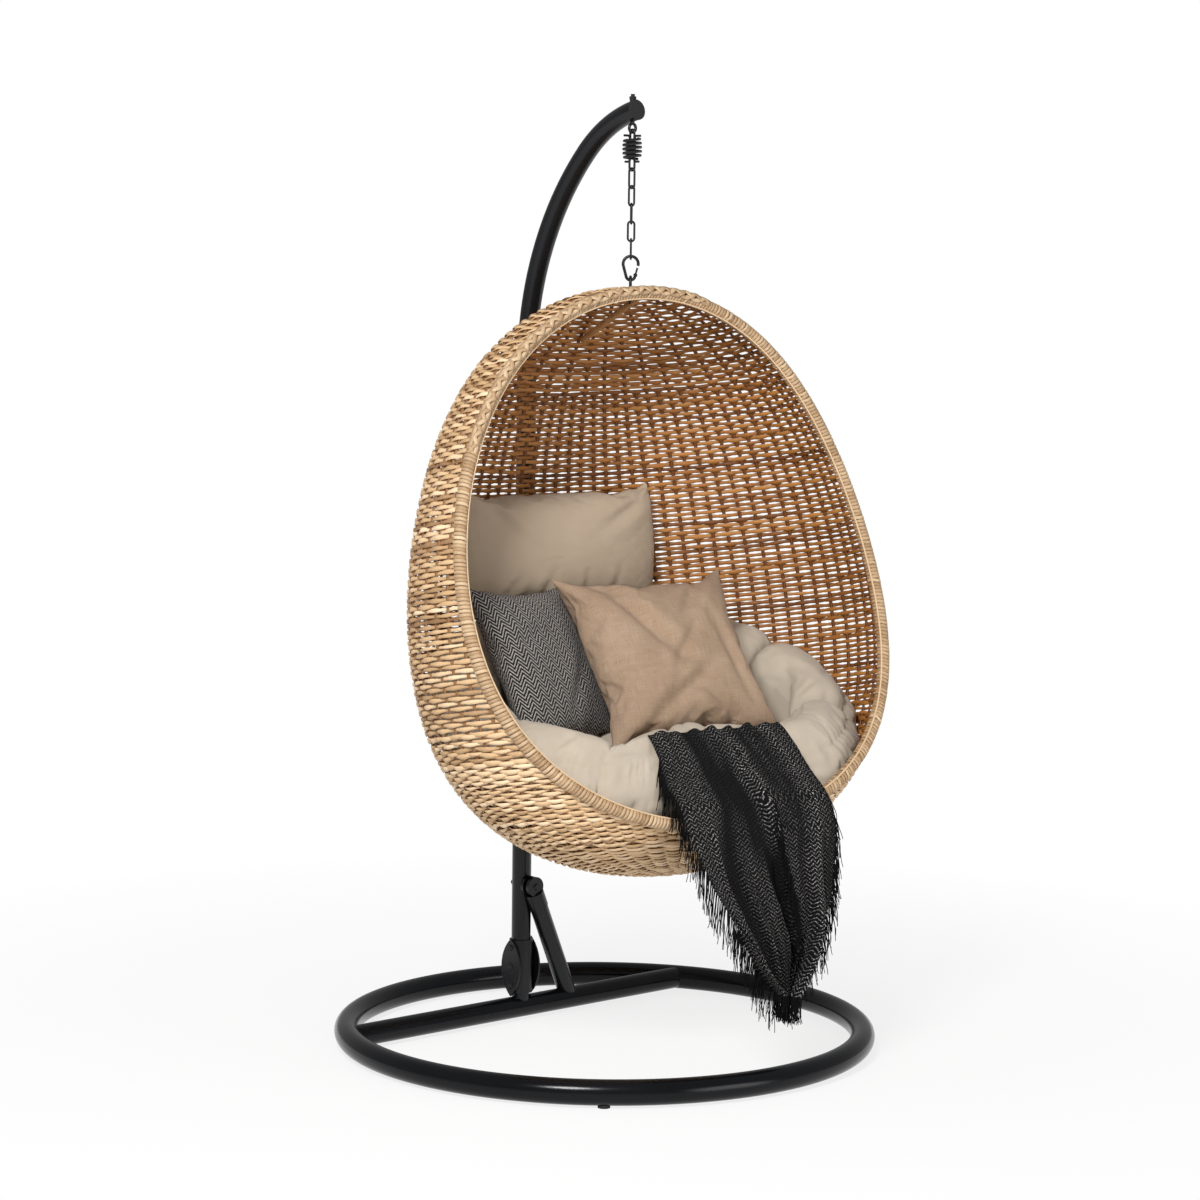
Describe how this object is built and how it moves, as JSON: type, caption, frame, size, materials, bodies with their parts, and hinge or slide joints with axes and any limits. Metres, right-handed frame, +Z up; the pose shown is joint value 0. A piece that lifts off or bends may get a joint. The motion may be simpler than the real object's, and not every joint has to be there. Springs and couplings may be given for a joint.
{
  "type": "hanging egg chair",
  "caption": "Woven egg-shaped basket hung on a spring and chain from a curved steel arm with a round floor ring, with cushions, pillows and a fringed throw.",
  "frame": {"origin": "on the floor at the centre of the floor ring", "axes": "+Z up; the basket's opening faces -Y; the post stands at +Y; the brace stands on the +X side of the post"},
  "size_m": [1.0998, 1.1, 1.9162],
  "materials": {
    "black_steel": "satin",
    "black_zinc": "gloss",
    "black_rubber": "matte",
    "black_plastic": "matte",
    "hoop_alloy": "satin",
    "cane": "satin",
    "pale_cane": "satin",
    "cream_cloth": "matte",
    "taupe_cloth": "matte",
    "tan_linen": "matte",
    "charcoal_herringbone": "matte",
    "charcoal_throw": "matte"
  },
  "bodies": {
    "stand": {"base_ring": "black_steel", "ring_feet": "black_rubber", "crossbar": "black_steel", "foot_spigot": "black_steel", "foot_sleeve": "black_steel", "cheek_plates": "black_steel", "foot_bolts": "black_zinc", "foot_nuts": "black_zinc", "post": "black_steel", "arm": "black_steel", "arm_spigot": "black_steel", "arm_screw": "black_zinc", "brace": "black_steel", "brace_head": "black_steel", "brace_bolt": "black_zinc", "brace_nut": "black_zinc", "end_cap": "black_plastic", "eye_bolt": "black_zinc", "eye_nut": "black_zinc"},
    "upper_drawbar": {"upper_drawbar": "black_zinc", "spring_coil": "black_zinc"},
    "lower_drawbar": {"lower_drawbar": "black_zinc"},
    "link_1": {"chain_link_1": "black_zinc"},
    "link_2": {"chain_link_2": "black_zinc"},
    "link_3": {"chain_link_3": "black_zinc"},
    "link_4": {"chain_link_4": "black_zinc"},
    "link_5": {"chain_link_5": "black_zinc"},
    "hook": {"snap_hook": "black_zinc", "gate_pin": "black_zinc"},
    "gate": {"hook_gate": "black_zinc"},
    "basket": {"hang_loop": "black_steel", "crown_bar": "black_steel", "rim_hoop": "hoop_alloy", "woven_shell": "cane", "rim_binding": "pale_cane", "seat_cushion": "cream_cloth", "head_cushion": "taupe_cloth", "dark_pillow": "charcoal_herringbone", "tan_pillow": "tan_linen", "throw": "charcoal_throw"}
  },
  "joints": [
    {"name": "swing", "type": "hinge", "parent": "stand", "child": "upper_drawbar", "pos_m": [0, -0.0489, 1.84117], "axis": [-1, 0, 0], "range_deg": [-0.2, 10]},
    {"name": "spring_travel", "type": "slide", "parent": "upper_drawbar", "child": "lower_drawbar", "axis": [0, 0, -1], "range_m": [-0.0029, 0.009], "stiffness_N_per_m": 130000, "springref_m": -0.00294, "deforming": ["spring_coil"]},
    {"name": "link_1_rock", "type": "hinge", "parent": "lower_drawbar", "child": "link_1", "pos_m": [0, -0.0489, 1.76627], "axis": [-0.9925, 0.1219, 0], "range_deg": [-0.1, 10]},
    {"name": "link_2_rock", "type": "hinge", "parent": "link_1", "child": "link_2", "pos_m": [0, -0.0489, 1.73162], "axis": [-0.225, 0.9744, 0], "range_deg": [-0.5, 5]},
    {"name": "link_3_rock", "type": "hinge", "parent": "link_2", "child": "link_3", "pos_m": [0, -0.0489, 1.69682], "axis": [-0.9925, 0.1219, 0], "range_deg": [-0.1, 6]},
    {"name": "link_4_rock", "type": "hinge", "parent": "link_3", "child": "link_4", "pos_m": [0, -0.0489, 1.66202], "axis": [-0.6018, -0.7986, 0], "range_deg": [-0.1, 6]},
    {"name": "link_5_rock", "type": "hinge", "parent": "link_4", "child": "link_5", "pos_m": [0, -0.0489, 1.62722], "axis": [-0.7431, 0.6691, 0], "range_deg": [-0.1, 6]},
    {"name": "hook_rock", "type": "hinge", "parent": "link_5", "child": "hook", "pos_m": [0, -0.0489, 1.59242], "axis": [-0.6691, -0.7431, 0], "range_deg": [-0.1, 6]},
    {"name": "hook_gate", "type": "hinge", "parent": "hook", "child": "gate", "pos_m": [0.00708, -0.05527, 1.56056], "axis": [-0.6691, -0.7431, 0], "range_deg": [0, 25], "stiffness_Nm_per_rad": 0.02, "springref_deg": -20.05},
    {"name": "basket_swivel", "type": "hinge", "parent": "hook", "child": "basket", "pos_m": [0, -0.0489, 1.55082], "axis": [0, 0, 1], "range_deg": [-10, 30]}
  ]
}
